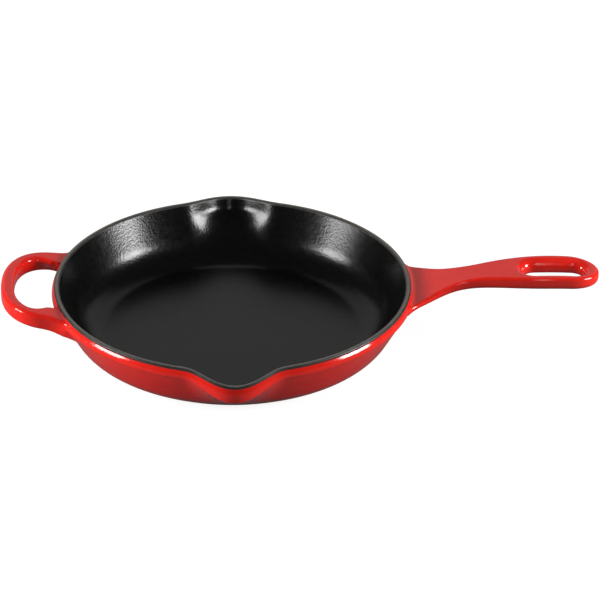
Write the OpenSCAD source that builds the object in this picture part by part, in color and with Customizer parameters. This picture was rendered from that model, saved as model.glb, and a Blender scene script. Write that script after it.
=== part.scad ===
// Enamelled cast iron skillet with two pouring lips, a long handle and a helper handle.
// Origin at the centre of the underside, +Z up, +X along the long handle,
// the pouring lips on +Y and -Y. Millimetres.

/* [Pan] */
// Outer radius of the thick collar round the rim
collar_r = 136; // [120:1:150]
// Height of the rim above the surface that the skillet stands on
pan_h = 45; // [42:1:52]
// Inner radius of the rim
rim_r = 130; // [126:0.5:131]
// Height of the collar band
collar_h = 8.2; // [7:0.1:10]
// How far the collar stands out from the wall below it
collar_step = 1.4; // [1:0.1:2.5]
// Radius of the flat foot
foot_r = 106; // [102:1:110]
// Height of the cooking surface above the resting plane
floor_z = 5; // [4.5:0.5:6]
// Slope of the outside of the wall
outer_slope = 61; // [58:1:64]
// Slope of the inside of the wall
inner_slope = 66; // [64:1:70]
// Radius between the underside and the wall
outer_fillet = 27; // [24:1:30]
// Radius between the cooking surface and the wall
inner_fillet = 29; // [26:1:31]
// Radius of the rim's inner edge
rim_round = 2.3; // [1.8:0.1:2.4]
// Radius of the rim's outer edge
rim_edge = 1.6; // [1.2:0.1:1.8]
// How far the rim stands in from the collar
shoulder = 1.7; // [1:0.1:1.9]

/* [Pouring lips] */
// How far a lip stands out past the collar
lip_out = 14.9; // [8:0.5:18]
// How far the rim dips at a lip
lip_dip = 4.3; // [2:0.1:6]
// How much more the collar's lower edge dips there
lip_skirt = 4.8; // [0:0.1:6]
// Angle from the middle of a lip to where it runs back into the rim
lip_half_angle = 16.6; // [12:0.2:20]

/* [Long handle] */
// Distance from the pan's centre to the handle's end
handle_reach = 276; // [265:1:290]
// Greatest width of the grip
grip_w = 38.2; // [34:0.2:42]
// Width of the neck
neck_w = 24.8; // [22:0.2:28]
// Thickness of the grip
grip_t = 10.5; // [9:0.1:12]
// Height of the grip's top above the rim
grip_rise = 11.4; // [8:0.2:14]
// Width of the hanging slot
slot_w = 18.5; // [14:0.5:20]
// Length of the hanging slot
slot_l = 47; // [36:0.5:50]
// Iron between the slot and the handle's end
slot_end = 10.5; // [9:0.5:14]

/* [Helper handle] */
// Distance from the pan's centre to the outside of the loop
helper_reach = 174.2; // [168:0.2:182]
// Outer width of the loop
helper_w = 102.4; // [90:0.2:110]
// Width of the loop's bar
bar_w = 9.8; // [8:0.2:12]
// Thickness of the loop's bar
bar_t = 12.5; // [10:0.1:13]
// Depth of the middle of the bar below the rim, at the end of the loop
bar_drop = 3.4; // [3:0.1:6]

/* [Enamel] */
// Thickness of the fired enamel
coat = 0.35; // [0.25:0.05:0.5]
// Height of the dark coat on the outside of the rim
rim_coat_h = 2.1; // [1.9:0.1:3]

/* [Hidden] */
iron = [0.23, 0.23, 0.24];
red = [0.76, 0.10, 0.08];
rim_grey = [0.27, 0.26, 0.25];
black = [0.09, 0.09, 0.09];

// Clearance of the curved underside above the resting plane, inside the foot
under_lift = 0.3;
// Radius of the collar's lower edge
collar_round = 1.2;
// Fall of the collar's top edge across the shoulder
shoulder_fall = 2;
// Height at which the pouring lips have faded into the wall
lip_foot = 5;
// How quickly the lips fade down the wall
lip_fade = 1.5;
// Steps across each lip, and between one lip and the other
lip_steps = 10;
side_steps = 25;
// Segments in a full turn of the rounded edges of the handles
edge_fn = 12;
// Radius of the long handle's upper edges, and the greatest one of its lower edges
upper_round = 2.3;
lower_round = 4.6;
// Radius of the helper handle's edges
bar_round = 3.4;
// Chamfer of the slot's upper edge
slot_chamfer = 2.6;

collar_z = pan_h - collar_h;
shoulder_z = pan_h - rim_coat_h;
rim_outer_r = collar_r - shoulder;

// Angles of the columns round the pan, denser across the lips
lip_angles = [for (i = [0:lip_steps - 1]) -lip_half_angle + 2 * lip_half_angle * i / lip_steps];
side_angles = [for (i = [0:side_steps - 1])
    lip_half_angle + (180 - 2 * lip_half_angle) * i / side_steps];
half_turn = concat(lip_angles, side_angles);
columns = concat([for (a = half_turn) a - 90], [for (a = half_turn) a + 90]);

function arc(c, r, a0, a1, n) = [for (i = [0:n])
    c + r * [cos(a0 + (a1 - a0) * i / n), sin(a0 + (a1 - a0) * i / n)]];
function line(p, q, n) = [for (i = [0:n]) p + (q - p) * i / n];
function reversed(v) = [for (i = [len(v) - 1:-1:0]) v[i]];

// Centres of the outside fillet, the collar's lower edge, the two edges of the rim
// and the inside fillet, in radius and height
wall_dir = [cos(outer_slope), sin(outer_slope)];
wall_out = [sin(outer_slope), -cos(outer_slope)];
wall_top = [collar_r - collar_step, collar_z];
wall_run = (collar_z + outer_fillet * (cos(outer_slope) - 1) - under_lift) / sin(outer_slope);
outer_c = wall_top - wall_run * wall_dir - outer_fillet * wall_out;
collar_c = [collar_r - collar_round, collar_z + collar_round];
rim_outer_c = [rim_outer_r - rim_edge, pan_h - rim_edge];
rim_inner_c = [rim_r + rim_round, pan_h - rim_round];
inner_out = [-sin(inner_slope), cos(inner_slope)];
inner_cz = floor_z + inner_fillet;
inner_c = [
    rim_inner_c.x - (rim_round + inner_fillet + (rim_inner_c.y - inner_cz) * cos(inner_slope))
        / sin(inner_slope),
    inner_cz
];

// How much lower the shoulder lies per unit of depth
shoulder_sink = (norm([shoulder, shoulder_fall]) - shoulder_fall) / shoulder;

// The outline of one surface, a depth d below the enamel's face. A third number of 1 marks
// the points that dip with the collar at a lip.
function hung(v) = [for (p = v) [p.x, p.y, 1]];
// Outside, from the foot to the top of the red enamel
function outside(d) = hung(concat(
    [[foot_r - d, coat]],
    arc(outer_c, outer_fillet - d,
        -acos((foot_r - d - outer_c.x) / (outer_fillet - d)), outer_slope - 90, 5),
    reversed(line(
        wall_top - d * wall_out + d * (1 - cos(outer_slope)) / sin(outer_slope) * wall_dir,
        outer_c + (outer_fillet - d) * wall_out + wall_run / 4 * wall_dir, 3)),
    arc(collar_c, collar_round - d, -90, 0, 3),
    [for (p = [[collar_r, shoulder_z - shoulder_fall], [rim_outer_r, shoulder_z]])
        p - d * [1, shoulder_sink]]
));
// Over the rim, from the red enamel to the top of the inside wall
function over_rim(d) = concat(
    arc(rim_outer_c, rim_edge - d, 0, 90, 3),
    arc(rim_inner_c, rim_round - d, 90, 90 + inner_slope, 3)
);
// Inside, from below the rim to the edge of the flat floor
function inside(d) = concat(
    line(rim_inner_c + (rim_round - d) * inner_out,
         inner_c - (inner_fillet + d) * inner_out, 3),
    [for (i = [1:6]) arc(inner_c, inner_fillet + d, inner_slope - 90, -90, 6)[i]]
);
function without_first(v) = [for (i = [1:len(v) - 1]) v[i]];

// Swelling of the pouring lips at an angle round the pan, and its share at a height
function swell(a) =
    let (from_lip = abs(abs(a > 180 ? a - 360 : a) - 90))
    from_lip < lip_half_angle ? (1 + cos(180 * from_lip / lip_half_angle)) / 2 : 0;
function share(z) =
    z <= lip_foot ? 0 : min(1, pow((z - lip_foot) / (collar_z - lip_foot), lip_fade));
function skirt(z) = min(share(z), max(0, min(1, (shoulder_z - z) / (shoulder_z - collar_z))));
function placed(p, a) =
    let (
        r = p.x + lip_out * swell(a) * share(p.y),
        dip = lip_dip * share(p.y) + (p.z == 1 ? lip_skirt * skirt(p.y) : 0)
    )
    [r * cos(a), r * sin(a), p.y - dip * swell(a)];

// Solid swept round the pan. A closed outline makes a ring. An open one starts and ends
// on the axis, at the heights of its first and last points.
module swept(outline, closed) {
    m = len(columns);
    n = len(outline);
    rows = closed ? n : n - 1;
    ring = [for (p = outline) for (a = columns) placed(p, a)];
    poles = closed ? [] : [[0, 0, outline[0].y], [0, 0, outline[n - 1].y]];
    sides = [for (i = [0:rows - 1]) for (j = [0:m - 1])
        let (k = (i + 1) % n, l = (j + 1) % m)
        each [[i * m + j, k * m + j, k * m + l], [i * m + j, k * m + l, i * m + l]]];
    caps = closed ? [] : [for (j = [0:m - 1])
        let (l = (j + 1) % m)
        each [[n * m, j, l], [n * m + 1, (n - 1) * m + l, (n - 1) * m + j]]];
    polyhedron(concat(ring, poles), concat(sides, caps));
}

// The pan filled in to the rim, a depth d below the enamel's face
module pan_envelope(d) {
    swept(concat(outside(d), [for (i = [0:3]) over_rim(d)[i]]), false);
}

// Stations along the long handle: distance from the pan's centre, width, height of the
// top above the rim, thickness
long_stations = [
    [122, 82, -7.2, 4.4],
    [130, 74, -5.8, 4.4],
    [138, 60.5, -3.8, 4.6],
    [146, 49.5, -1.8, 5.6],
    [156, 36.5, 1.2, 7],
    [167, 28, 4.4, 8],
    [180, neck_w, 7.4, 9.3],
    [194, 28, 9.5, grip_t - 0.2],
    [212, 34.4, 10.8, grip_t],
    [232, grip_w, grip_rise, grip_t],
    [handle_reach - 24, grip_w - 0.1, grip_rise - 0.3, grip_t]
];
end_from = handle_reach - 24;
end_drop = 2.2;
// Rounded end of the grip, in steps of equal angle
end_stations = [for (a = [20:14:90])
    [end_from + (24 - upper_round) * sin(a),
     (grip_w - 0.1 - 2 * upper_round) * cos(a) + 2 * upper_round,
     grip_rise - 0.3 - end_drop * (1 - cos(a)), grip_t]];

// Corner bead of radius r of the long handle's section at a station, on one side, with its
// middle at a depth below the handle's top, grown inwards by d
module long_bead(s, side, r, depth, d) {
    translate([s.x, side * (s.y / 2 - r), pan_h + s.z - depth])
        sphere(r = r - d, $fn = edge_fn);
}

// All four beads. The lower ones are as round as the thickness allows, save at the end.
module long_section(s, d) {
    upper = min(upper_round, s[3] / 2 - 0.2);
    lower = s.x > end_from ? upper_round : min(lower_round, s[3] / 2 - 0.2);
    for (side = [-1, 1]) {
        long_bead(s, side, upper, upper, d);
        long_bead(s, side, lower, s[3] - lower, d);
    }
}

module long_bar(d) {
    stations = concat(long_stations, end_stations);
    for (i = [0:len(stations) - 2]) hull() {
        long_section(stations[i], d);
        long_section(stations[i + 1], d);
    }
}

// Outline of the hanging slot, grown by g
module slot_outline(g) {
    x_end = handle_reach - slot_end - slot_w / 2;
    for (x = [x_end - slot_l + slot_w, x_end]) translate([x, 0])
        circle(r = slot_w / 2 + g, $fn = 36);
    translate([x_end - slot_l + slot_w, -slot_w / 2 - g])
        square([slot_l - slot_w, slot_w + 2 * g]);
}

// Hanging slot with its chamfer, a depth d wider than the finished one
module slot(d) {
    top = pan_h + grip_rise;
    translate([0, 0, top - 20]) linear_extrude(30) slot_outline(d);
    hull() {
        translate([0, 0, top - slot_chamfer]) linear_extrude(0.01) slot_outline(d);
        translate([0, 0, top + 1]) linear_extrude(0.01) slot_outline(slot_chamfer + 1 + d);
    }
}

module long_iron() {
    difference() {
        long_bar(coat);
        slot(coat);
    }
}

// Route of the middle of the helper handle's bar: half of a D whose corner is a
// superellipse, then a root that flares along the wall. The third number is how much
// wider the bar is there, the fourth how much deeper.
d_corner = 2.36;
d_centre = -135;
d_x = helper_reach + d_centre - bar_w / 2;
d_y = helper_w / 2 - bar_w / 2;
function d_route(a) = [
    d_centre - d_x * pow(cos(a), 2 / d_corner),
    d_y * pow(sin(a), 2 / d_corner),
    0, 0
];
helper_half = concat(
    [for (a = [0, 12, 25, 38, 50, 63, 76]) d_route(a)],
    [[-137, d_y - 2, 4, 0], [-129, d_y - 1, 9, 0.6], [-119, d_y, 13, 1.4]]
);
// How much lower the bar lies towards the wall, by distance from the pan's centre
bar_falls = [[-172, 0], [-160, 0.6], [-148, 1.7], [-140, 2.6], [-134, 3.7], [-128, 5.1], [-114, 6]];
function bar_mid(x) = pan_h - bar_drop - lookup(x, bar_falls);

// Corner beads of the helper handle's bar at a point of its route, grown inwards by d
module helper_section(p, side, d) {
    half_w = (bar_w + p.z) / 2 - bar_round;
    turn = side * atan2(p.y, p.x - d_centre - 8);
    for (u = [-half_w, half_w]) for (z = [bar_t / 2 - bar_round, bar_round - bar_t / 2 - p[3]])
        translate([p.x, side * p.y, bar_mid(p.x) + z])
            rotate([0, 0, turn])
                translate([u, 0, 0])
                    sphere(r = bar_round - d, $fn = edge_fn);
}

module helper_bar(d) {
    for (side = [-1, 1]) for (i = [0:len(helper_half) - 2]) hull() {
        helper_section(helper_half[i], side, d);
        helper_section(helper_half[i + 1], side, d);
    }
}

module pan_casting() {
    color(iron) swept(concat(outside(coat), over_rim(coat), without_first(inside(coat))), false);
}

module long_handle_casting() {
    color(iron) difference() {
        long_iron();
        pan_envelope(coat);
    }
}

module helper_handle_casting() {
    color(iron) difference() {
        helper_bar(coat);
        pan_envelope(coat);
    }
}

module base_enamel() {
    color(black) cylinder(r = foot_r, h = coat, $fn = 120);
}

module pan_enamel() {
    color(red) difference() {
        swept(concat(outside(0), reversed(outside(coat))), true);
        long_bar(coat);
        helper_bar(coat);
    }
}

module rim_enamel() {
    face = outside(0);
    iron_face = outside(coat);
    color(rim_grey) swept(concat(
        [face[len(face) - 1]], over_rim(0),
        reversed(over_rim(coat)), [iron_face[len(iron_face) - 1]]
    ), true);
}

module interior_enamel() {
    color(black) swept(concat(reversed(inside(coat)), inside(0)), false);
}

module long_handle_enamel() {
    color(red) difference() {
        long_bar(0);
        slot(0);
        long_iron();
        pan_envelope(0);
    }
}

module helper_handle_enamel() {
    color(red) difference() {
        helper_bar(0);
        helper_bar(coat);
        pan_envelope(0);
    }
}

pan_casting();
long_handle_casting();
helper_handle_casting();
base_enamel();
pan_enamel();
rim_enamel();
interior_enamel();
long_handle_enamel();
helper_handle_enamel();
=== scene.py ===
"""Looks of the enamelled cast iron skillet: a casting under one continuous coat of enamel.

The outside is one surface. The pan is an outline swept round the axis, with two pouring
lips. The handles are grids of quads that start from holes in that sweep and settle on a
smooth solid, where the handles run into the wall with fillets. The surface is then cut by
colour into coats of enamel of the CAD's thickness, over a casting of the same shape.
Lengths are in millimetres until a mesh is made.
"""
import math

import bmesh
import bpy
import numpy as np
from mathutils import Matrix, Vector


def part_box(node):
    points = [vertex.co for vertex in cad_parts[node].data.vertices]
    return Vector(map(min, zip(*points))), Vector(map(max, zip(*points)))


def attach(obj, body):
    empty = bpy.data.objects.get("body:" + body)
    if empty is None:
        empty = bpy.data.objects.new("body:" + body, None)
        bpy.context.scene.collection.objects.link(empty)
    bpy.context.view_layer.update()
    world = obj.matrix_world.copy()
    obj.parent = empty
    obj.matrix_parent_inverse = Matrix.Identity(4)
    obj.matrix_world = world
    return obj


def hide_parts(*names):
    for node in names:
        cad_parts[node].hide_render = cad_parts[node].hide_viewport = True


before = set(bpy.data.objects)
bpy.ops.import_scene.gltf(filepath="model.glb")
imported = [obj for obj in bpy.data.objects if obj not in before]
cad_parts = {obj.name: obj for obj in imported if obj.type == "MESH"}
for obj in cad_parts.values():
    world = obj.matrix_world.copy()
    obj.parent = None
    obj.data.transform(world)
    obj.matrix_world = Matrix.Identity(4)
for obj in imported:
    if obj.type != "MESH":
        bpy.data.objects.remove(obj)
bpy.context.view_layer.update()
MM = 0.001


def node_box(name):
    """Lowest and highest corner of a CAD node, in millimetres."""
    return [np.array(corner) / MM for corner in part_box(name)]


# ---------------------------------------------------------------- sizes from the frame
RIM_HI = node_box("rim_enamel")[1]
BASE_LO, BASE_HI = node_box("base_enamel")
INSIDE_LO = node_box("interior_enamel")[0]
LONG_HI = node_box("long_handle_enamel")[1]
HELPER_LO = node_box("helper_handle_enamel")[0]

# how far the handles' ends stay inside the CAD's
CLEAR = 0.1
COAT = BASE_HI[2] - BASE_LO[2]
PAN_H = RIM_HI[2]
FOOT_R = BASE_HI[0]
FLOOR_Z = INSIDE_LO[2] + COAT
LONG_REACH = LONG_HI[0] - CLEAR
HELPER_REACH = -HELPER_LO[0] - CLEAR

# ---------------------------------------------------------------- sizes of the details
# the pan
COLLAR_R = 136.0
RIM_COAT_R = 134.3
RIM_R = 130.0
COLLAR_H = 8.2
COLLAR_STEP = 1.4
COLLAR_Z = PAN_H - COLLAR_H
COLLAR_ROUND = 1.0
CREASE_ROUND = 0.6
OUTER_SLOPE = math.radians(61)
INNER_SLOPE = math.radians(66)
UNDER_SLOPE = math.radians(18)
HEEL_ROUND = 25.0
FLOOR_ROUND = 29.0
FOOT_H = 1.7
FOOT_ROUND = 0.8
FOOT_CREASE_ROUND = 0.4
RIM_ROUND = 2.3
RIM_EDGE_ROUND = 1.6
RIM_COAT_H = 2.1
RIM_COAT_Z = PAN_H - RIM_COAT_H
RIM_COAT_ROUND = 0.3
SHOULDER_FALL = 2.6
SHOULDER_ROUND = 5.2

# the pouring lips
LIP_OUT = RIM_HI[1] - RIM_COAT_R
LIP_DIP = 4.3
LIP_SKIRT = 4.8
LIP_HALF_ANGLE = math.radians(16.6)
LIP_FOOT = 5.0
LIP_FADE = 1.5

# the long handle's slot and rounded end
SLOT_W = 17.9
SLOT_L = 46.0
SLOT_END = 11.0
SLOT_UPPER_ROUND = 6.6
SLOT_LOWER_ROUND = 1.5
END_FROM = LONG_REACH - 24
# where the grip's width is taken, to find the slot's share of it
GRIP_WIDTH_X = 240
LONG_FILLET = 5.0

# the helper handle: its bar follows half a superellipse of this power
BAR_W = 9.8
BAR_T = 12.5
BAR_ROUND = 3.4
HELPER_W = 102.4
LOOP_POWER = 2.36
LOOP_CENTRE = -135.0
LOOP_X = HELPER_REACH + LOOP_CENTRE - BAR_W / 2
LOOP_Y = HELPER_W / 2 - BAR_W / 2
HELPER_ROOT_X = -112.0

# where the bar's root begins to widen, over what length, and by how much in each way
FLARE_FROM = -143.0
FLARE_RUN = 13.0
FLARE_MOST = 1.4
FLARE_OUT = 2.6
FLARE_DEEP = 0.5

# the web inside the loop: its width, where it begins, over what length, and from how far
# below the bar's middle it rises
WEB = 7.0
WEB_FROM = -155.0
WEB_RUN = 16.0
WEB_MOST = 1.3
WEB_BELOW = 3.0
WEB_RISE = 6.0

# the fillet at the wall: full at the depth and the run together below the rim, and
# narrower above that, down to the least share of it
HELPER_FILLET = 9.0
FILLET_LEAST = 0.25
FILLET_DEPTH = 3.0
FILLET_RUN = 7.0

# the gap that each handle's root fills in the pan's face: lowest and highest height, first
# and last angle in degrees
LONG_HOLE = (31.5, 40.6, -14.6, 14.6)
REAR_HOLE = (27.0, 41.6, 154.5, 165.0)
FRONT_HOLE = (27.0, 41.6, -165.0, -154.5)
# the wall settles on the solid where it is farther along X than this, either way
ROOTS_FROM = 110.0


# ---------------------------------------------------------------- outline of the pan
def unit(v):
    return v / np.linalg.norm(v)


def rounded(before, at, after, radius, steps):
    """Points of the arc that rounds the corner of an outline. A radius of 0 keeps it."""
    if radius == 0:
        return [at]
    a, b = unit(before - at), unit(after - at)
    half = math.acos(float(a @ b)) / 2
    centre = at + unit(a + b) * radius / math.sin(half)
    ends = [at + leg * radius / math.tan(half) - centre for leg in (a, b)]
    start, stop = [math.atan2(e[1], e[0]) for e in ends]
    turn = (stop - start + math.pi) % (2 * math.pi) - math.pi
    angles = [start + turn * i / steps for i in range(steps + 1)]
    return [centre + radius * np.array([math.cos(t), math.sin(t)]) for t in angles]


def outline(detail):
    """The pan's outline from the middle of the underside, over the rim, to the middle of
    the cooking surface, as (radius, height) rows, and the row where each zone starts."""
    foot_top = np.array([FOOT_R, FOOT_H])
    crease = np.array([COLLAR_R - COLLAR_STEP, COLLAR_Z])
    wall_dir = np.array([math.cos(OUTER_SLOPE), math.sin(OUTER_SLOPE)])
    under_dir = np.array([math.cos(UNDER_SLOPE), math.sin(UNDER_SLOPE)])
    run = np.linalg.solve(np.array([under_dir, wall_dir]).T, crease - foot_top)
    heel = foot_top + run[0] * under_dir
    rim_in = np.array([
        RIM_R + RIM_ROUND - RIM_ROUND / math.tan((math.pi - INNER_SLOPE) / 2), PAN_H
    ])
    floor_edge = np.array([
        rim_in[0] - (PAN_H - FLOOR_Z) / math.tan(INNER_SLOPE), FLOOR_Z
    ])
    # corner, radius, steps round it, greatest spacing on the way to the next one, zone
    corners = [
        (np.array([0.0, 0.0]), 0, 0, 9.0, "base"),
        (np.array([FOOT_R, 0.0]), FOOT_ROUND, 3, 1.0, "outside"),
        (foot_top, FOOT_CREASE_ROUND, 2, 2.0, None),
        (heel, HEEL_ROUND, 14, 2.6, None),
        (crease, CREASE_ROUND, 3, 0.5, None),
        (np.array([COLLAR_R, COLLAR_Z]), COLLAR_ROUND, 4, 1.3, None),
        (np.array([COLLAR_R, RIM_COAT_Z - SHOULDER_FALL]), SHOULDER_ROUND, 6, 0.5, None),
        (np.array([RIM_COAT_R, RIM_COAT_Z]), RIM_COAT_ROUND, 2, 0.5, "rim"),
        (np.array([RIM_COAT_R, PAN_H]), RIM_EDGE_ROUND, 6, 0.9, None),
        (rim_in, RIM_ROUND, 6, 2.6, "inside"),
        (floor_edge, FLOOR_ROUND, 16, 5.0, None),
        (np.array([0.0, FLOOR_Z]), 0, 0, 1.0, None),
    ]
    rows, starts = [], {}
    for i, (at, radius, steps, spacing, zone) in enumerate(corners):
        before = corners[max(i - 1, 0)][0]
        after = corners[min(i + 1, len(corners) - 1)][0]
        points = rounded(before, at, after, radius, steps * detail)
        if rows:
            gap = np.linalg.norm(points[0] - rows[-1])
            count = max(1, math.ceil(gap / corners[i - 1][3]))
            last = rows[-1]
            rows += [last + (points[0] - last) * k / count for k in range(1, count)]
        if zone == "base":
            starts[zone] = len(rows)
        rows += points
        if zone in ("outside", "rim", "inside"):
            starts[zone] = len(rows) - 1
    return np.array(rows), starts


def placed(radius, height, angle, skirt):
    """Where a point of the outline goes at an angle round the pan, lips included. The
    outside's collar hangs lower under a lip: skirt is 1 there, and 0 inside."""
    from_lip = np.abs(np.abs((angle + math.pi) % (2 * math.pi) - math.pi) - math.pi / 2)
    swell = np.where(
        from_lip < LIP_HALF_ANGLE, (1 + np.cos(math.pi * from_lip / LIP_HALF_ANGLE)) / 2, 0
    )
    share = np.clip((height - LIP_FOOT) / (COLLAR_Z - LIP_FOOT), 0, 1) ** LIP_FADE
    above = np.clip((RIM_COAT_Z - height) / (COLLAR_H - RIM_COAT_H), 0, 1)
    drop = LIP_DIP * share + LIP_SKIRT * skirt * np.minimum(share, above)
    r = radius + LIP_OUT * swell * share
    return np.stack([r * np.cos(angle), r * np.sin(angle), height - drop * swell], -1)


# ---------------------------------------------------------------- solid that the handles settle on
def spline(xs, ys):
    """Natural cubic spline through the listed stations."""
    xs, ys = np.array(xs, float), np.array(ys, float)
    n, h = len(xs), np.diff(xs)
    system, right = np.eye(n), np.zeros(n)
    for i in range(1, n - 1):
        system[i, i - 1:i + 2] = [h[i - 1], 2 * (h[i - 1] + h[i]), h[i]]
        right[i] = 6 * ((ys[i + 1] - ys[i]) / h[i] - (ys[i] - ys[i - 1]) / h[i - 1])
    bend = np.linalg.solve(system, right)

    def at(x):
        x = np.clip(x, xs[0], xs[-1])
        i = np.clip(np.searchsorted(xs, x) - 1, 0, n - 2)
        a, b = (xs[i + 1] - x) / h[i], (x - xs[i]) / h[i]
        curve = ((a ** 3 - a) * bend[i] + (b ** 3 - b) * bend[i + 1]) * h[i] ** 2 / 6
        return a * ys[i] + b * ys[i + 1] + curve
    return at


# distance from the pan's centre, width, top above the rim, thickness, radius of the upper
# edges, radius of the lower edges
LONG_STATIONS = np.array([
    [112, 88, -7.6, 4.4, 1.9, 2.0],
    [122, 85, -7.2, 4.4, 1.9, 2.0],
    [130, 74, -5.8, 4.4, 1.9, 2.0],
    [138, 60.5, -3.8, 4.6, 2.0, 2.2],
    [146, 49.5, -1.8, 5.6, 2.1, 2.8],
    [156, 36.5, 1.1, 6.9, 2.2, 3.3],
    [167, 28.0, 4.2, 7.8, 2.2, 3.8],
    [180, 24.8, 7.2, 9.2, 2.3, 4.4],
    [194, 28.0, 9.3, 10.2, 2.3, 5.0],
    [212, 34.4, 10.6, 10.4, 2.3, 5.1],
    [232, 38.2, 11.2, 10.5, 2.3, 5.1],
    [END_FROM, 38.1, 10.9, 10.5, 2.3, 5.1],
    [LONG_REACH + 2, 37.0, 8.5, 10.3, 2.3, 5.0],
])
long_width, long_top, long_thick, long_upper, long_lower = [
    spline(LONG_STATIONS[:, 0], LONG_STATIONS[:, k]) for k in range(1, 6)
]
END_HALF_W = float(long_width(END_FROM)) / 2


def rounded_bar(beside, above, radius):
    """Distance to a bar of rectangular section with rounded edges, from the distances to
    its flank and to its face."""
    q = np.stack([beside + radius, above + radius])
    outside = np.sqrt((np.maximum(q, 0) ** 2).sum(0))
    return outside + np.minimum(q.max(0), 0) - radius


def long_handle(p):
    """Signed distance to the long handle, near enough for points close to it."""
    x, y, z = p[:, 0], p[:, 1], p[:, 2]
    taper = (long_width(x + 0.5) - long_width(x - 0.5)) / 2
    flank = (np.abs(y) - long_width(x) / 2) / np.sqrt(1 + taper ** 2)
    u, v = np.maximum(x - END_FROM, 0) / (LONG_REACH - END_FROM), y / END_HALF_W
    reach = np.sqrt(u ** 2 + v ** 2)
    slope = np.sqrt((u / (LONG_REACH - END_FROM)) ** 2 + (v / END_HALF_W) ** 2)
    end = (reach - 1) * reach / np.maximum(slope, 1e-6)
    beside = np.where(x > END_FROM, end, flank)
    slot_mid = LONG_REACH - SLOT_END - SLOT_L / 2
    along = np.maximum(np.abs(x - slot_mid) - (SLOT_L - SLOT_W) / 2, 0)
    slot = np.sqrt(along ** 2 + y ** 2) - SLOT_W / 2
    thick = long_thick(x)
    level = z - (PAN_H + long_top(x) - thick / 2)
    above = np.abs(level) - thick / 2
    bar = rounded_bar(beside, above, np.where(level > 0, long_upper(x), long_lower(x)))
    opening = rounded_bar(-slot, above, np.where(level > 0, SLOT_UPPER_ROUND, SLOT_LOWER_ROUND))
    return np.maximum(np.maximum(bar, opening), LONG_STATIONS[0, 0] - x)


# distance from the pan's centre, middle of the bar above the rim
HELPER_STATIONS = np.array([
    [-176, -3.4], [-160, -4.0], [-148, -5.1], [-140, -6.0], [-134, -7.1], [-128, -8.6],
    [-122, -9.4], [-114, -9.7],
])
helper_middle = spline(HELPER_STATIONS[:, 0], HELPER_STATIONS[:, 1])


def root_flare(x):
    """How far into its flared root the helper handle's bar is."""
    return np.clip((x - FLARE_FROM) / FLARE_RUN, 0, FLARE_MOST) ** 2


def root_web(x, over_middle):
    """How far the web inside the loop spreads along the wall, at the top of the bar."""
    along = np.clip((x - WEB_FROM) / WEB_RUN, 0, WEB_MOST) ** 2
    return WEB * along * np.clip((over_middle + WEB_BELOW) / WEB_RISE, 0, 1)


def helper_handle(p):
    """Signed distance to the helper handle, near enough for points close to it."""
    x, y, z = p[:, 0], p[:, 1], p[:, 2]
    u, v = np.maximum(LOOP_CENTRE - x, 0) / LOOP_X, np.abs(y) / LOOP_Y
    power = (u ** LOOP_POWER + v ** LOOP_POWER + 1e-12)
    reach = power ** (1 / LOOP_POWER)
    slope = np.sqrt(
        (u ** (LOOP_POWER - 1) / LOOP_X) ** 2 + (v ** (LOOP_POWER - 1) / LOOP_Y) ** 2
    ) * power ** (1 / LOOP_POWER - 1)
    aside = (reach - 1) / np.maximum(slope, 1e-6)
    middle = PAN_H + helper_middle(x)
    inwards = -aside - BAR_W / 2 - root_flare(x) - root_web(x, z - middle)
    outwards = aside - BAR_W / 2 - FLARE_OUT * root_flare(x)
    deep = BAR_T + FLARE_DEEP * root_flare(x)
    above = np.abs(z - middle - BAR_T / 2 + deep / 2) - deep / 2
    bar = rounded_bar(np.maximum(inwards, outwards), above, BAR_ROUND)
    return np.maximum(bar, x - HELPER_ROOT_X)


def smooth_min(a, b, k):
    """The lesser of two distances, with a fillet of about k where they meet."""
    h = np.maximum(k - np.abs(a - b), 0) / k
    return np.minimum(a, b) - h ** 3 * k / 6


def wall_distance(p, rows):
    """Signed distance to the outside of the swept outline, where it has no lips."""
    far_off = 20.0
    result = np.full(len(p), far_off)
    radius = np.hypot(p[:, 0], p[:, 1])
    close = np.flatnonzero(radius < COLLAR_R + far_off)
    q = np.stack([radius[close], p[close, 2]], 1)
    a, d = rows[:-1], np.diff(rows, axis=0)
    rel = q[:, None] - a[None]
    t = np.clip((rel * d).sum(-1) / (d * d).sum(-1), 0, 1)
    gap = np.sqrt(((rel - t[..., None] * d) ** 2).sum(-1))
    near = gap.argmin(1)
    pick = np.arange(len(q))
    cross = d[near, 0] * rel[pick, near, 1] - d[near, 1] * rel[pick, near, 0]
    result[close] = np.where(cross > 0, -1, 1) * gap[pick, near]
    return result


FINE_ROWS, FINE_STARTS = outline(3)
WALL_ROWS = FINE_ROWS[FINE_STARTS["outside"]:FINE_STARTS["inside"]]


def skillet(p):
    """Negative inside the iron near the handles, 0 on the face of the enamel."""
    pan = smooth_min(wall_distance(p, WALL_ROWS), long_handle(p), LONG_FILLET)
    # the fillet shrinks towards the rim, which stays clear of red
    shrink = np.clip((PAN_H - FILLET_DEPTH - p[:, 2]) / FILLET_RUN, FILLET_LEAST, 1)
    return smooth_min(pan, helper_handle(p), HELPER_FILLET * shrink)


def settle(p):
    """Moves points a step along the slope of the solid, onto its face."""
    step, flattest, longest = 0.04, 0.05, 3
    slope = np.stack([
        (skillet(p + step * e) - skillet(p - step * e)) / (2 * step) for e in np.eye(3)
    ], 1)
    value = skillet(p)[:, None]
    move = value * slope / np.maximum((slope ** 2).sum(1, keepdims=True), flattest)
    return p - np.clip(move, -longest, longest)


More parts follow.
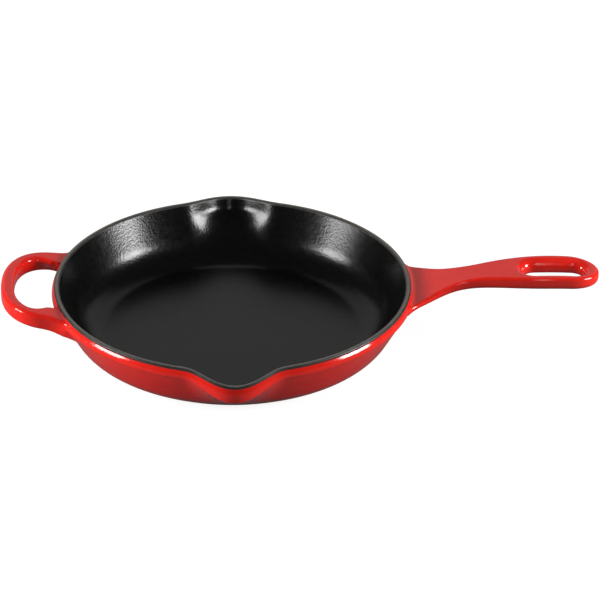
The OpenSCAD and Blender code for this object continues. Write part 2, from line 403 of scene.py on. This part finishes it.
# ---------------------------------------------------------------- the surface's quads
def column_angles():
    """Angles of the columns round the pan, closer together at the handles' roots."""
    fine, coarse = math.radians(0.625), math.radians(1.25)
    near = math.radians(30)
    quarter = np.concatenate([
        np.arange(0, near - fine / 2, fine), np.arange(near, math.pi / 2 + coarse / 2, coarse)
    ])
    upper = np.concatenate([quarter, math.pi - quarter[::-1][1:]])
    return np.concatenate([upper, -upper[1:-1][::-1]])


class Surface:
    """Vertices and faces of the whole skillet's face, with a zone for each face."""

    def __init__(self):
        self.points = []
        self.faces = []
        self.zones = []

    def add(self, points):
        """Adds points and returns their numbers."""
        first = len(self.points)
        self.points += [np.array(p, float) for p in points]
        return list(range(first, len(self.points)))

    def face(self, corners, zone):
        self.faces.append(corners)
        self.zones.append(zone)

    def strip(self, ring_a, ring_b, zone, skip=()):
        """Quads between two closed rings of equal length."""
        n = len(ring_a)
        for k in range(n):
            if k not in skip:
                m = (k + 1) % n
                self.face((ring_a[k], ring_a[m], ring_b[m], ring_b[k]), zone)


def build():
    """The whole face of the skillet: the swept pan, then the handles from their roots."""
    surface = Surface()
    rows, starts = outline(1)
    angles = column_angles()
    n_rows, n_cols = len(rows), len(angles)
    rings = [
        surface.add(placed(r, z, angles, 1 if i < starts["rim"] else 0))
        for i, (r, z) in enumerate(rows[1:-1], 1)
    ]
    bottom, top = surface.add([[0, 0, 0]])[0], surface.add([[0, 0, rows[-1][1]]])[0]

    def row_at(height):
        """The outside row nearest to a height."""
        outside = range(starts["outside"], starts["rim"])
        return min(outside, key=lambda i: abs(rows[i][1] - height))

    def column_at(degrees):
        """The column nearest to an angle."""
        wanted = math.radians(degrees)
        return min(range(n_cols), key=lambda j: abs(math.remainder(angles[j] - wanted, 2 * math.pi)))

    # low row, high row, first column, last column
    long_hole, rear_hole, front_hole = [
        (row_at(low), row_at(high), column_at(first), column_at(last))
        for low, high, first, last in (LONG_HOLE, REAR_HOLE, FRONT_HOLE)
    ]
    removed = set()
    for low, high, first, last in (long_hole, rear_hole, front_hole):
        columns = (last - first) % n_cols
        for i in range(low, high):
            removed |= {(i, (first + k) % n_cols) for k in range(columns)}

    def zone_of(i):
        if i < starts["outside"]:
            return "base"
        if i < starts["rim"]:
            return "red"
        return "rim" if i < starts["inside"] else "black"

    for j in range(n_cols):
        k = (j + 1) % n_cols
        surface.face((bottom, rings[0][k], rings[0][j]), "base")
        surface.face((top, rings[-1][j], rings[-1][k]), "black")
        for i in range(1, n_rows - 2):
            if (i, j) not in removed:
                a, b = rings[i - 1], rings[i]
                surface.face((a[j], a[k], b[k], b[j]), zone_of(i))

    def border(hole, flip):
        """The hole's rim: top row, far side down, bottom row back, near side up."""
        low, high, first, last = hole
        n = (last - first) % n_cols
        cols = [(first + k) % n_cols for k in range(n + 1)]
        if flip:
            cols.reverse()
        ring = [rings[high - 1][c] for c in cols[:-1]]
        ring += [rings[i - 1][cols[-1]] for i in range(high, low, -1)]
        ring += [rings[low - 1][c] for c in reversed(cols[1:])]
        ring += [rings[i - 1][cols[0]] for i in range(low, high)]
        return ring, n, high - low

    free_from = len(surface.points)
    long_mesh(surface, *border(long_hole, False))
    helper_mesh(surface, border(rear_hole, False), border(front_hole, True))

    points = np.array(surface.points)
    pan = np.arange(len(points)) < free_from
    row_number = np.full(len(points), -1)
    for i, ring in enumerate(rings):
        row_number[ring] = i + 1
    near_root = pan & (row_number >= starts["outside"]) & (row_number < starts["rim"])
    near_root &= np.abs(points[:, 0]) > ROOTS_FROM
    root_passes = 8
    for _ in range(root_passes):
        points[near_root] = settle(points[near_root])
    points = relaxed(points, surface.faces, ~pan)
    return points, surface


def relaxed(points, faces, free):
    """Evens out the free vertices over the face of the solid."""
    pairs = np.array([
        (f[i], f[(i + 1) % len(f)]) for f in faces for i in range(len(f))
    ])
    pairs = np.unique(np.sort(pairs, 1), axis=0)
    pairs = pairs[free[pairs[:, 0]] | free[pairs[:, 1]]]
    both = np.concatenate([pairs, pairs[:, ::-1]])
    both = both[free[both[:, 0]]]
    count = np.bincount(both[:, 0], minlength=len(points))[:, None]
    free = free & (count[:, 0] > 0)
    passes, pull, last_passes = 40, 0.6, 3
    for _ in range(passes):
        mean = np.zeros_like(points)
        for axis in range(3):
            mean[:, axis] = np.bincount(
                both[:, 0], points[both[:, 1], axis], minlength=len(points)
            )
        mean[free] /= count[free]
        points[free] += pull * (mean[free] - points[free])
        points[free] = settle(points[free])
    for _ in range(last_passes):
        points[free] = settle(points[free])
    return points


def section(centre, side, up, half_w, half_t, across, down):
    """Points round a rectangular section: across the top, down, back, and up."""
    top = [(-1 + 2 * k / across, 1) for k in range(across)]
    far = [(1, 1 - 2 * k / down) for k in range(down)]
    bottom = [(1 - 2 * k / across, -1) for k in range(across)]
    near = [(-1, -1 + 2 * k / down) for k in range(down)]
    return [
        centre + side * (u * half_w) + up * (v * half_t) for u, v in top + far + bottom + near
    ]


def long_mesh(surface, root, across, down):
    """Rings of quads from the root to the rounded end, round the slot, and the end cap."""
    up, side = np.array([0.0, 0, 1]), np.array([0.0, 1, 0])
    inset_w, inset_t = 0.6, 0.4
    spacing, first_x, last_x = 1.5, 137, LONG_REACH - 4
    xs = np.linspace(first_x, last_x, int((last_x - first_x) / spacing))
    rings = [root]
    for x in xs:
        thick = float(long_thick(x))
        centre = np.array([x, 0, PAN_H + float(long_top(x)) - thick / 2])
        past = max(x - END_FROM, 0) / (LONG_REACH - END_FROM)
        half_w = float(long_width(min(x, END_FROM))) / 2 * math.sqrt(1 - past ** 2)
        rings.append(surface.add(
            section(centre, side, up, half_w - inset_w, thick / 2 - inset_t, across, down)
        ))
    slot_x = (LONG_REACH - SLOT_END - SLOT_L, LONG_REACH - SLOT_END)
    a, b = [int(np.abs(xs - x).argmin()) + 1 for x in slot_x]
    narrowed = 0.94
    share = SLOT_W / float(long_width(GRIP_WIDTH_X)) * narrowed
    c = round(across * (1 - share) / 2)
    d = across - c
    opened = set(range(c, d)) | {2 * across + down - 1 - k for k in range(c, d)}
    for i in range(len(rings) - 1):
        skip = opened if a <= i < b else ()
        surface.strip(rings[i], rings[i + 1], "red", skip)

    def lower(j):
        """Place in a ring of the bottom vertex under the top vertex j."""
        return 2 * across + down - j

    loop = [(a, j) for j in range(c, d)] + [(i, d) for i in range(a, b)]
    loop += [(b, j) for j in range(d, c, -1)] + [(i, c) for i in range(b, a, -1)]
    above = [rings[i][j] for i, j in loop]
    below = [rings[i][lower(j)] for i, j in loop]
    levels = 8
    walls = [above]
    for k in range(1, levels):
        t = k / levels
        walls.append(surface.add([
            surface.points[u] * (1 - t) + surface.points[w] * t for u, w in zip(above, below)
        ]))
    walls.append(below)
    for upper_ring, lower_ring in zip(walls, walls[1:]):
        surface.strip(lower_ring, upper_ring, "red")

    last, n = rings[-1], 2 * (across + down)
    cap = {}
    for j in range(across + 1):
        for k in range(down + 1):
            if k == 0:
                cap[j, k] = last[j]
            elif k == down:
                cap[j, k] = last[lower(j)]
            elif j == across:
                cap[j, k] = last[across + k]
            elif j == 0:
                cap[j, k] = last[(n - k) % n]
            else:
                high, low = surface.points[last[j]], surface.points[last[lower(j)]]
                point = high + (low - high) * k / down
                out = math.sqrt(1 - (point[1] / END_HALF_W) ** 2)
                point[0] = END_FROM + (LONG_REACH - END_FROM) * out
                cap[j, k] = surface.add([point])[0]
    for j in range(across):
        for k in range(down):
            corners = (cap[j, k], cap[j + 1, k], cap[j + 1, k + 1], cap[j, k + 1])
            surface.face(corners, "red")


def helper_mesh(surface, rear, front):
    """Rings of quads from the rear root round the loop to the front root."""
    root_a, across, down = rear
    root_b = front[0]
    up = np.array([0.0, 0, 1])
    rings = [root_a]
    stations = []
    straight, straight_steps, curve_from, curve_steps, inset = 4, 4, 0.03, 52, 0.5
    for x in np.linspace(LOOP_CENTRE + straight, LOOP_CENTRE, straight_steps):
        stations.append((x, LOOP_Y))
    for t in np.linspace(curve_from, math.pi / 2, curve_steps):
        stations.append((
            LOOP_CENTRE - LOOP_X * math.sin(t) ** (2 / LOOP_POWER),
            LOOP_Y * math.cos(t) ** (2 / LOOP_POWER) if t < math.pi / 2 - 1e-9 else 0.0,
        ))
    half = [np.array([x, y, PAN_H + float(helper_middle(x))]) for x, y in stations]
    route = half + [p * np.array([1, -1, 1]) for p in reversed(half[:-1])]
    for i, p in enumerate(route):
        ahead = route[min(i + 1, len(route) - 1)] - route[max(i - 1, 0)]
        heading = unit(ahead * np.array([1, 1, 0]))
        inwards = np.cross(up, heading)
        rings.append(surface.add(
            section(p, inwards, up, BAR_W / 2 - inset, BAR_T / 2 - inset, across, down)
        ))
    rings.append(root_b)
    for ring_a, ring_b in zip(rings, rings[1:]):
        surface.strip(ring_a, ring_b, "red")


# ---------------------------------------------------------------- pieces cut from the surface
def whole_mesh(points, surface):
    """One mesh of the skillet's face with outward normals, in metres."""
    mesh = bpy.data.meshes.new("face")
    mesh.from_pydata((points * MM).tolist(), [], [list(f) for f in surface.faces])
    build_mesh = bmesh.new()
    build_mesh.from_mesh(mesh)
    bmesh.ops.recalc_face_normals(build_mesh, faces=build_mesh.faces)
    build_mesh.to_mesh(mesh)
    build_mesh.free()
    return mesh


def new_piece(name, verts, faces):
    """A smooth-shaded object of these points, which are in metres."""
    mesh = bpy.data.meshes.new(name)
    mesh.from_pydata(verts.tolist(), [], faces)
    mesh.validate()
    mesh.shade_smooth()
    piece = bpy.data.objects.new(name, mesh)
    bpy.context.scene.collection.objects.link(piece)
    return piece


def coat_piece(name, face, zones, zone, depth):
    """The quads of one zone, closed by an inner layer and walls along the zone's edges."""
    normals = np.array([v.normal for v in face.vertices])
    verts = np.array([v.co for v in face.vertices])
    faces = [tuple(p.vertices) for p, z in zip(face.polygons, zones) if z == zone]
    used = sorted({v for f in faces for v in f})
    number = {v: i for i, v in enumerate(used)}
    n = len(used)
    outer = [tuple(number[v] for v in f) for f in faces]
    edges = {}
    for f in outer:
        for a, b in zip(f, f[1:] + f[:1]):
            edges[a, b] = (b, a) not in edges
            if not edges[a, b]:
                edges[b, a] = False
    rims = [e for e, lone in edges.items() if lone]
    inner = [tuple(v + n for v in reversed(f)) for f in outer]
    walls = [(b, a, a + n, b + n) for a, b in rims]
    shell = np.concatenate([verts[used], verts[used] - depth * MM * normals[used]])
    piece = new_piece(name, shell, outer + inner + walls)
    sharp = {frozenset(e) for e in rims} | {frozenset((a + n, b + n)) for a, b in rims}
    for edge in piece.data.edges:
        if frozenset(edge.vertices) in sharp:
            edge.use_edge_sharp = True
    return piece


def core_piece(name, face, depth):
    """The casting: the whole face, set in by the coat's thickness."""
    verts = np.array([v.co - v.normal * depth * MM for v in face.vertices])
    return new_piece(name, verts, [tuple(p.vertices) for p in face.polygons])


# ---------------------------------------------------------------- node materials
class Nodes:
    """A material's node tree, with short calls for the nodes used here."""

    def __init__(self, name):
        self.material = bpy.data.materials.new(name)
        self.material.use_nodes = True
        self.tree = self.material.node_tree
        self.shader = self.tree.nodes["Principled BSDF"]
        self.place = self.tree.nodes.new("ShaderNodeTexCoord").outputs["Object"]

    def node(self, kind, **settings):
        made = self.tree.nodes.new(kind)
        for key, value in settings.items():
            setattr(made, key, value)
        return made

    def link(self, source, target):
        self.tree.links.new(source, target)

    def noise(self, size_mm, detail=2.0, roughness=0.5):
        """Noise with features of about this size."""
        node = self.node("ShaderNodeTexNoise")
        node.inputs["Scale"].default_value = 1000 / size_mm
        node.inputs["Detail"].default_value = detail
        node.inputs["Roughness"].default_value = roughness
        self.link(self.place, node.inputs["Vector"])
        return node.outputs["Fac"]

    def height(self):
        """Height above the resting plane, in metres."""
        split = self.node("ShaderNodeSeparateXYZ")
        self.link(self.place, split.inputs[0])
        return split.outputs["Z"]

    def upwards(self):
        """How far the face looks up, 1 where it is level."""
        split = self.node("ShaderNodeSeparateXYZ")
        self.link(self.node("ShaderNodeNewGeometry").outputs["Normal"], split.inputs[0])
        return split.outputs["Z"]

    def ramp(self, source, stops):
        """Colours by value."""
        node = self.node("ShaderNodeValToRGB")
        bar = node.color_ramp.elements
        while len(bar) < len(stops):
            bar.new(0.5)
        for element, (at, colour) in zip(bar, stops):
            element.position = at
            element.color = (*colour, 1)
        self.link(source, node.inputs[0])
        return node.outputs["Color"]

    def spread(self, source, low, high, to_low, to_high, smooth=True):
        """Maps a range of values to another."""
        node = self.node("ShaderNodeMapRange")
        if smooth:
            node.interpolation_type = "SMOOTHSTEP"
        limits = {"From Min": low, "From Max": high, "To Min": to_low, "To Max": to_high}
        for key, value in limits.items():
            node.inputs[key].default_value = value
        self.link(source, node.inputs["Value"])
        return node.outputs["Result"]

    def blend(self, factor, a, b, kind="MIX"):
        """Mixes colours, each a socket or a colour."""
        node = self.node("ShaderNodeMix", data_type="RGBA", blend_type=kind)
        for key, value in (("Factor", factor), ("A", a), ("B", b)):
            socket = [i for i in node.inputs if i.name == key and i.enabled][0]
            if hasattr(value, "is_output"):
                self.link(value, socket)
            else:
                socket.default_value = value if key == "Factor" else (*value, 1)
        return [o for o in node.outputs if o.enabled][0]

    def bump(self, source, height_mm, before=None):
        """Relief of this height, over any relief before it."""
        node = self.node("ShaderNodeBump")
        node.inputs["Distance"].default_value = height_mm * MM
        self.link(source, node.inputs["Height"])
        if before is not None:
            self.link(before, node.inputs["Normal"])
        return node.outputs["Normal"]

    def set(self, **values):
        """Sets or links the shader's inputs."""
        for key, value in values.items():
            socket = self.shader.inputs[key.replace("_", " ")]
            if hasattr(value, "is_output"):
                self.link(value, socket)
            else:
                socket.default_value = value


def red_enamel():
    """Glossy red glaze that darkens towards the base, faintly mottled, with orange peel."""
    m = Nodes("red_enamel")
    shade = m.ramp(m.spread(m.height(), 0.0, 0.040, 0, 1, smooth=False), [
        (0.0, (0.12, 0.002, 0.003)), (0.15, (0.42, 0.008, 0.008)), (0.8, (0.60, 0.014, 0.009)),
        (1.0, (0.60, 0.014, 0.008)),
    ])
    mottled = m.blend(m.spread(m.noise(9, 4), 0.35, 0.7, 0.0, 0.22), shade, (0.42, 0.006, 0.004))
    m.set(
        Base_Color=mottled,
        Roughness=m.spread(m.noise(14, 3), 0.3, 0.7, 0.08, 0.16),
        Normal=m.bump(m.noise(2.4, 2), 0.012, m.bump(m.noise(11, 1), 0.05)),
    )
    m.shader.inputs["Coat Weight"].default_value = 0.3
    m.shader.inputs["Coat Roughness"].default_value = 0.03
    return m.material


def rim_coat():
    """Satin dark glaze, with a painted highlight: paler where the rim's face is level and looks up.
    """
    m = Nodes("rim_enamel")
    dark = m.ramp(m.noise(3.5, 5, 0.6), [
        (0.3, (0.012, 0.011, 0.010)), (0.7, (0.030, 0.027, 0.024)),
    ])
    # painted highlight: a paler copy of the glaze, shown where the face looks up
    painted_top_highlight = m.ramp(m.noise(3.5, 5, 0.6), [
        (0.3, (0.075, 0.069, 0.060)), (0.7, (0.115, 0.105, 0.093)),
    ])
    m.set(
        Base_Color=m.blend(m.spread(m.upwards(), 0.80, 0.99, 0, 1), dark, painted_top_highlight),
        Roughness=m.spread(m.noise(5, 3), 0.3, 0.7, 0.34, 0.46),
        Normal=m.bump(m.noise(1.3, 3), 0.03),
    )
    return m.material


def black_enamel():
    """Satin black glaze with a fine pebbled face."""
    m = Nodes("black_enamel")
    tone = m.ramp(m.noise(6, 5, 0.6), [
        (0.3, (0.0014, 0.0014, 0.0013)), (0.7, (0.0032, 0.0031, 0.0029)),
    ])
    m.set(
        Base_Color=tone,
        Roughness=m.spread(m.noise(4, 4), 0.3, 0.7, 0.19, 0.24),
        Normal=m.bump(m.noise(1.6, 1), 0.10, m.bump(m.noise(6, 2), 0.03)),
    )
    return m.material


def base_coat():
    """Matte dark glaze under the foot."""
    m = Nodes("base_enamel")
    tone = m.ramp(m.noise(8, 5, 0.6), [(0.3, (0.012, 0.011, 0.011)), (0.7, (0.028, 0.024, 0.022))])
    m.set(
        Base_Color=tone,
        Roughness=m.spread(m.noise(6, 4), 0.3, 0.7, 0.5, 0.7),
        Normal=m.bump(m.noise(1.6, 3), 0.06),
    )
    return m.material


def cast_iron():
    """Bare grey iron with the grain of a sand mould."""
    m = Nodes("iron")
    tone = m.ramp(m.noise(1.5, 6, 0.7), [(0.3, (0.045, 0.043, 0.042)), (0.7, (0.11, 0.105, 0.10))])
    m.set(
        Base_Color=tone, Metallic=0.85,
        Roughness=m.spread(m.noise(2, 4), 0.3, 0.7, 0.5, 0.75),
        Normal=m.bump(m.noise(0.9, 4, 0.7), 0.1),
    )
    return m.material


# ---------------------------------------------------------------- camera, floor and light
def camera():
    """The photograph's viewing angle, from the front and 29 degrees up. The distance is a
    choice: 2.3 m fits the photograph about as well."""
    far, lens, tilt = 3.0, 233.75, 0.5088
    turn, roll = -0.0312, 0.0078
    target = Vector((0.050772, 0.05385, 0))
    spin = Matrix.Rotation(turn, 3, "Z")
    ahead = spin @ Vector((0, math.cos(tilt), -math.sin(tilt)))
    right = spin @ Vector((1, 0, 0))
    up = spin @ Vector((0, math.sin(tilt), math.cos(tilt)))
    across = right * math.cos(roll) + up * math.sin(roll)
    over = up * math.cos(roll) - right * math.sin(roll)
    place = spin @ target - ahead * far
    data = bpy.data.cameras.new("camera")
    data.lens, data.sensor_width, data.clip_end = lens, 36, 50
    made = bpy.data.objects.new("camera", data)
    axes = Matrix((across, over, -ahead)).transposed().to_4x4()
    made.matrix_world = Matrix.Translation(place) @ axes
    bpy.context.scene.collection.objects.link(made)
    bpy.context.scene.camera = made


def seen_brighter(tree, plain, seen):
    """A shader that cameras see as one thing, and light and reflections as another."""
    mix = tree.nodes.new("ShaderNodeMixShader")
    path = tree.nodes.new("ShaderNodeLightPath")
    tree.links.new(path.outputs["Is Camera Ray"], mix.inputs[0])
    tree.links.new(plain, mix.inputs[1])
    tree.links.new(seen, mix.inputs[2])
    return mix.outputs[0]


def floor():
    """A large floor, grey to light and reflections, and near white to the camera."""
    size = 6.0
    mesh = bpy.data.meshes.new("floor")
    mesh.from_pydata([
        (-size, -size, 0), (size, -size, 0), (size, size, 0), (-size, size, 0)
    ], [], [(0, 1, 2, 3)])
    made = bpy.data.objects.new("floor", mesh)
    bpy.context.scene.collection.objects.link(made)
    m = Nodes("floor")
    m.set(Base_Color=(0.18, 0.18, 0.18, 1), Roughness=0.9)
    m.shader.inputs["Specular IOR Level"].default_value = 0
    glow = m.node("ShaderNodeEmission")
    glow.inputs["Strength"].default_value = 0.90
    both = m.node("ShaderNodeAddShader")
    m.link(m.shader.outputs[0], both.inputs[0])
    m.link(glow.outputs[0], both.inputs[1])
    lit = seen_brighter(m.tree, m.shader.outputs[0], both.outputs[0])
    m.link(lit, m.tree.nodes["Material Output"].inputs["Surface"])
    made.data.materials.append(m.material)


def softbox(name, place, aim, size, power, reflected=True):
    """A rectangular light that faces a point."""
    data = bpy.data.lights.new(name, "AREA")
    data.shape = "RECTANGLE"
    data.size, data.size_y = size
    data.energy = power
    made = bpy.data.objects.new(name, data)
    made.location = place
    made.rotation_euler = (Vector(aim) - Vector(place)).to_track_quat("-Z", "Y").to_euler()
    made.visible_glossy = reflected
    bpy.context.scene.collection.objects.link(made)


def studio():
    """Softboxes at both sides, a backdrop behind and a strip in front. The fill above and
    the low washes at the sides give light, but aren't reflected. The world is dim, and
    white to the camera."""
    scene = bpy.context.scene
    scene.view_settings.view_transform = "Standard"
    world = bpy.data.worlds.new("studio")
    scene.world = world
    world.use_nodes = True
    tree = world.node_tree
    dim = tree.nodes["Background"]
    dim.inputs["Color"].default_value = (0.9, 0.95, 1, 1)
    dim.inputs["Strength"].default_value = 0.04
    white = tree.nodes.new("ShaderNodeBackground")
    white.inputs["Color"].default_value = (1, 1, 1, 1)
    shown = seen_brighter(tree, dim.outputs[0], white.outputs[0])
    tree.links.new(shown, tree.nodes["World Output"].inputs["Surface"])
    pan = (0, 0, 0.03)
    softbox("left", (-1.35, -0.25, 0.56), pan, (0.5, 0.48), 12)
    softbox("right", (1.35, -0.30, 0.56), pan, (0.5, 0.48), 16.5)
    softbox("backdrop", (0.05, 2.4, 1.1), (0.05, 0, 0.05), (3.6, 2.0), 7)
    softbox("front", (0.28, -2.2, 1.7), (0.1, 0, 0), (0.35, 1.6), 4.5)
    softbox("fill", (0.05, 0.5, 1.9), (0.05, 0, 0), (1.8, 1.8), 11, reflected=False)
    softbox("wash_left", (-1.6, -0.12, 0.25), pan, (0.6, 0.4), 38, reflected=False)
    softbox("wash_right", (1.6, -0.10, 0.25), pan, (0.6, 0.4), 22, reflected=False)


# ---------------------------------------------------------------- the skillet
POINTS, SURFACE = build()
FACE = whole_mesh(POINTS, SURFACE)

PIECES = [
    ("exterior_coat", "red", red_enamel(), "red_enamel",
     ("pan_enamel", "long_handle_enamel", "helper_handle_enamel")),
    ("rim_coat", "rim", rim_coat(), "rim_enamel", ("rim_enamel",)),
    ("interior_coat", "black", black_enamel(), "black_enamel", ("interior_enamel",)),
    ("base_coat", "base", base_coat(), "base_enamel", ("base_enamel",)),
]
for piece_name, piece_zone, material, slot_name, nodes in PIECES:
    coat = coat_piece(piece_name, FACE, SURFACE.zones, piece_zone, COAT)
    coat.data.materials.append(material)
    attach(coat, "root")
    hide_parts(*nodes)

casting = core_piece("casting", FACE, COAT + 0.01)
casting.data.materials.append(cast_iron())
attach(casting, "root")
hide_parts("pan_casting", "long_handle_casting", "helper_handle_casting")

camera()
floor()
studio()
